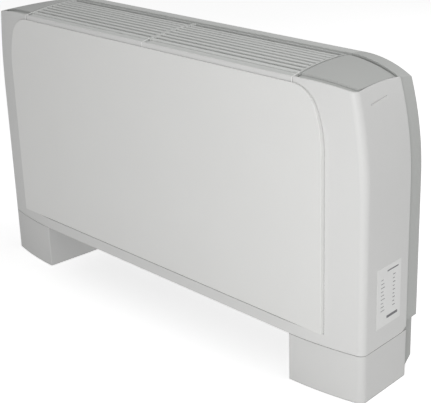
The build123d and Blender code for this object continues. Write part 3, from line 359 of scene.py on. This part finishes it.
def dress_cad_nodes():
    """Gives every CAD node its own look, or the look of its slot in the record."""
    for entry in frame["record"]["subparts"]:
        node = frame["nodes"][entry["node"]]
        look = LOOKS[OWN_LOOKS.get(entry["node"], entry["material_slot"])]
        if not node.material_slots:
            node.data.materials.append(look)
        for slot in node.material_slots:
            slot.material = look


# ---- mesh kit ---------------------------------------------------------------------------
def piece_from(mesh, name, body, look):
    """Turns a bmesh into a piece that rides on a body and wears the given look."""
    bmesh.ops.recalc_face_normals(mesh, faces=mesh.faces)
    data = bpy.data.meshes.new(name)
    mesh.to_mesh(data)
    mesh.free()
    made = bpy.data.objects.new(name, data)
    bpy.context.scene.collection.objects.link(made)
    data.materials.append(look)
    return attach(made, body)


def add_bar(mesh, centre, size, turn=None):
    """Adds a closed box with its own centre, size and optional turn."""
    matrix = Matrix.Translation(centre) @ (turn or Matrix.Identity(4)) @ Matrix.Diagonal((*size, 1.0))
    bmesh.ops.create_cube(mesh, size=1.0, matrix=matrix)


def dense_fins():
    """Thin rippled fins at their real spacing, in the place of the CAD fin pack."""
    pitch, thick, ripple = 2.2 * MM, 0.2 * MM, 0.35 * MM
    width, height, steps = 44 * MM, 208 * MM, 16
    tilt = math.radians(28.0)
    low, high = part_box("coil_fins")
    centre = (low + high) / 2
    up = Vector((0, math.sin(tilt), math.cos(tilt)))
    across = Vector((0, math.cos(tilt), -math.sin(tilt)))
    mesh = bmesh.new()
    for index in range(int((high.x - low.x) / pitch) + 1):
        x = low.x + index * pitch
        rows = []
        for step in range(steps + 1):
            rise = (step / steps - 0.5) * height
            wave = ripple * (1 if step % 2 else -1)
            spine = Vector((x + wave, centre.y, centre.z)) + up * rise
            rows.append([
                mesh.verts.new(spine + across * side * width / 2 + Vector((face * thick / 2, 0, 0)))
                for side, face in ((-1, -1), (1, -1), (1, 1), (-1, 1))
            ])
        for here, there in zip(rows, rows[1:]):
            for corner in range(4):
                follow = (corner + 1) % 4
                mesh.faces.new((here[corner], here[follow], there[follow], there[corner]))
        mesh.faces.new(list(reversed(rows[0])))
        mesh.faces.new(rows[-1])
    fins = piece_from(mesh, "coil_fin_pack", ROOT, LOOKS["fin_aluminium"])
    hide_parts("coil_fins")


def filter_net():
    """Crossed strands of filter cloth in the frame's four windows."""
    windows, rib = 4, 10.4 * MM
    pitch, strand = 2.4 * MM, 0.5 * MM
    low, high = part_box("filter_mesh")
    middle = (low + high) / 2
    depth = high.y - low.y
    span = (high.x - low.x - rib * (windows - 1)) / windows
    mesh = bmesh.new()
    for window in range(windows):
        left = low.x + window * (span + rib)
        for index in range(1, int(span / pitch)):
            place = Vector((left + index * pitch, middle.y, middle.z + strand / 3))
            add_bar(mesh, place, (strand, depth, strand))
        for index in range(1, int(depth / pitch)):
            place = Vector((left + span / 2, low.y + index * pitch, middle.z - strand / 3))
            add_bar(mesh, place, (span, strand, strand))
    net = piece_from(mesh, "filter_net", "filter_body", LOOKS["filter_cloth"])
    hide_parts("filter_mesh")


def label_marks():
    """Dashes in two columns between two bars on the data label, with no lettering.

    Starts, lengths and levels are parts of the label's width and height.
    """
    film, ink_thick, ink_lift = 0.3 * MM, 0.08 * MM, 0.03 * MM
    rows, first_level, row_drop = 9, 0.80, 0.065
    low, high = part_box("rating_label")
    lean = math.atan2(high.x - low.x - film, high.y - low.y)
    along = Vector((-math.sin(lean), math.cos(lean), 0))
    out = Vector((math.cos(lean), math.sin(lean), 0))
    corner = Vector((high.x, low.y, low.z))
    width = (high.y - low.y) / math.cos(lean)
    height = high.z - low.z
    turn = Matrix.Rotation(lean, 4, "Z")
    mesh = bmesh.new()

    def dash(start, length, level, tall):
        middle = corner + along * ((start + length / 2) * width) + out * ink_lift
        middle.z += level * height
        add_bar(mesh, middle, (ink_thick, length * width, tall), turn)

    for row in range(rows):
        level = first_level - row * row_drop
        dash(0.16, 0.10 + 0.03 * (row % 3), level, 1.0 * MM)
        dash(0.66, 0.07 + 0.03 * ((row + 1) % 2), level, 1.3 * MM)
    dash(0.42, 0.46, 0.91, 2.4 * MM)
    dash(0.42, 0.46, 0.13, 5.0 * MM)
    piece_from(mesh, "label_marks", ROOT, ink("label_ink", (0.16, 0.16, 0.17)))


def grille_clips():
    """Angled clips over the front rim and the gutter, where the grilles meet and end."""
    width, thick, tab, bridge = 2.2 * MM, 0.9 * MM, 12 * MM, 19 * MM
    rim_above_duct = 27 * MM
    end_inset, meeting_gap = 1.2 * MM, 2.4 * MM
    rise = math.radians(11.0)
    rim_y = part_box("front_cover")[0].y
    rim_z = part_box("duct_front")[1].z + rim_above_duct
    grille_low, grille_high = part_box("grille_right")
    mesh = bmesh.new()
    for x in (-grille_high.x + end_inset, grille_low.x - meeting_gap, grille_high.x - end_inset):
        add_bar(mesh, Vector((x, rim_y - thick * 0.3, rim_z - tab / 2)), (width, thick, tab))
        over = Vector((x, rim_y + bridge / 2, rim_z + bridge / 2 * math.tan(rise) - thick / 4))
        add_bar(mesh, over, (width, bridge, thick), Matrix.Rotation(rise, 4, "X"))
    clips = piece_from(mesh, "grille_clips", ROOT, LOOKS["clip_plastic"])
    bevel = clips.modifiers.new("rounded", "BEVEL")
    bevel.width = 0.25 * MM
    bevel.segments = 2


def dial_marks():
    """Scale ticks round both knobs, printed on the control plate."""
    gap, tick_wide, tick_high = 2.4 * MM, 0.45 * MM, 0.12 * MM
    short_tick, long_tick, long_every = 1.4 * MM, 2.4 * MM, 5
    scales = {"thermostat_knob": (-225, 45, 11), "speed_knob": (-180, -90, 4)}
    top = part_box("control_plate")[1].z
    mesh = bmesh.new()
    for knob, (first, last, ticks) in scales.items():
        low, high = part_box(knob)
        centre = (low + high) / 2
        reach = (high.x - low.x) / 2 + gap
        for index in range(ticks):
            angle = math.radians(first + (last - first) * index / (ticks - 1))
            place = Vector((centre.x + reach * math.cos(angle), centre.y + reach * math.sin(angle), top))
            long = short_tick if index % long_every else long_tick
            add_bar(mesh, place, (long, tick_wide, tick_high), Matrix.Rotation(angle, 4, "Z"))
    piece_from(mesh, "dial_marks", ROOT, ink("dial_ink", (0.05, 0.05, 0.06)))


def pointer_inlays():
    """White inlays in the pointer grooves of both knobs."""
    wide, tall, sunk = 1.3 * MM, 0.6 * MM, 0.45 * MM
    for knob in ("thermostat_knob", "speed_knob"):
        low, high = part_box(knob)
        radius = (high.x - low.x) / 2
        length, inset = radius * 0.6, radius * 0.12
        middle = Vector(((low.x + high.x) / 2, low.y + inset + length / 2, high.z - sunk))
        mesh = bmesh.new()
        add_bar(mesh, middle, (wide, length, tall))
        look = LOOKS["control_plastic"]
        piece_from(mesh, knob + "_pointer", knob + "_body", look)


def terminal_screws():
    """Slotted brass screws in the terminal block, each in two halves beside its slot."""
    screws, first, pitch = 6, 6.5 * MM, 12.6 * MM
    radius, sunk = 2.4 * MM, 2.2 * MM
    half_depth = Vector((0, 0, 0.8 * MM))
    slot_angle = math.asin(0.16)
    steps = 10
    low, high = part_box("terminal_block")
    mesh = bmesh.new()
    for index in range(screws):
        centre = Vector(((low.x + high.x) / 2, low.y + first + index * pitch, high.z - sunk))
        turn = Matrix.Rotation(0.7 * index, 4, "Z")
        for half in (-1, 1):
            rim = []
            for step in range(steps + 1):
                angle = half * (slot_angle + (math.pi - 2 * slot_angle) * step / steps)
                rim.append(Vector((radius * math.cos(angle), radius * math.sin(angle), 0)))
            upper = [mesh.verts.new(centre + turn @ (point + half_depth)) for point in rim]
            lower = [mesh.verts.new(centre + turn @ (point - half_depth)) for point in rim]
            mesh.faces.new(upper)
            mesh.faces.new(list(reversed(lower)))
            for here in range(len(rim)):
                there = (here + 1) % len(rim)
                mesh.faces.new((upper[here], upper[there], lower[there], lower[here]))
    piece_from(mesh, "terminal_screws", ROOT, LOOKS["brass"])


# ---- stage ----------------------------------------------------------------------------------
def lay_floor():
    """A large plain floor just below the object's feet."""
    half, drop = 12.0, 0.2 * MM
    mesh = bmesh.new()
    corners = ((-half, -half), (half, -half), (half, half), (-half, half))
    mesh.faces.new([mesh.verts.new((x, y, -drop)) for x, y in corners])
    data = bpy.data.meshes.new("floor")
    mesh.to_mesh(data)
    mesh.free()
    floor = bpy.data.objects.new("floor", data)
    bpy.context.scene.collection.objects.link(floor)
    data.materials.append(floor_paint("floor_paint"))


def area_light(name, place, aim, side, power):
    """A square lamp at a place, turned to an aim, in metres and watts."""
    lamp = bpy.data.lights.new(name, "AREA")
    lamp.shape = "SQUARE"
    lamp.size = side
    lamp.energy = power
    made = bpy.data.objects.new(name, lamp)
    bpy.context.scene.collection.objects.link(made)
    made.location = place
    made.rotation_mode = "QUATERNION"
    made.rotation_quaternion = (Vector(aim) - Vector(place)).to_track_quat("-Z", "Y")


def light_studio():
    """Soft lights beside the camera, above and behind, in a bright even room."""
    world = bpy.data.worlds.new("studio")
    world.use_nodes = True
    tree = world.node_tree
    background = tree.nodes["Background"]
    background.inputs["Color"].default_value = (1.0, 1.0, 1.0, 1.0)
    strength = tree.nodes.new("ShaderNodeMapRange")
    strength.inputs["To Min"].default_value = ROOM_LIGHT
    strength.inputs["To Max"].default_value = ROOM_GLOW
    seen = tree.nodes.new("ShaderNodeLightPath").outputs["Is Camera Ray"]
    tree.links.new(seen, strength.inputs["Value"])
    tree.links.new(strength.outputs["Result"], background.inputs["Strength"])
    bpy.context.scene.world = world
    area_light("key", (1.4, -1.72, 0.8), aim=(0.15, 0.0, 0.3), side=0.8, power=17.5)
    area_light("top", (0.7, 0.45, 2.4), aim=(0.1, 0.0, 0.5), side=1.2, power=13)
    area_light("rear", (0.4, 2.7, 0.7), aim=(0.0, 0.1, 0.3), side=1.2, power=16)


def place_camera():
    """A long lens above the right front corner, looking down at the front and right side."""
    eye = (1.5540, -1.3932, 1.0527)
    yaw, pitch, roll = math.radians(46.38), math.radians(21.12), math.radians(-1.86)
    level = Vector((math.cos(yaw), math.sin(yaw), 0))
    forward = Vector((-math.sin(yaw), math.cos(yaw), 0))
    ahead = forward * math.cos(pitch) - Vector((0, 0, math.sin(pitch)))
    upward = level.cross(ahead)
    right = level * math.cos(roll) + upward * math.sin(roll)
    up = upward * math.cos(roll) - level * math.sin(roll)
    data = bpy.data.cameras.new("camera")
    data.lens = 93.7
    data.sensor_width = 36.0
    data.shift_x, data.shift_y = -0.0065, -0.0298
    data.clip_start, data.clip_end = 0.05, 60.0
    camera = bpy.data.objects.new("camera", data)
    bpy.context.scene.collection.objects.link(camera)
    turn = Matrix((right, up, -ahead)).transposed().to_4x4()
    camera.matrix_world = Matrix.Translation(eye) @ turn
    bpy.context.scene.camera = camera


dress_cad_nodes()
dense_fins()
filter_net()
label_marks()
grille_clips()
dial_marks()
pointer_inlays()
terminal_screws()
lay_floor()
light_studio()
place_camera()
bpy.context.scene.view_settings.view_transform = "Standard"
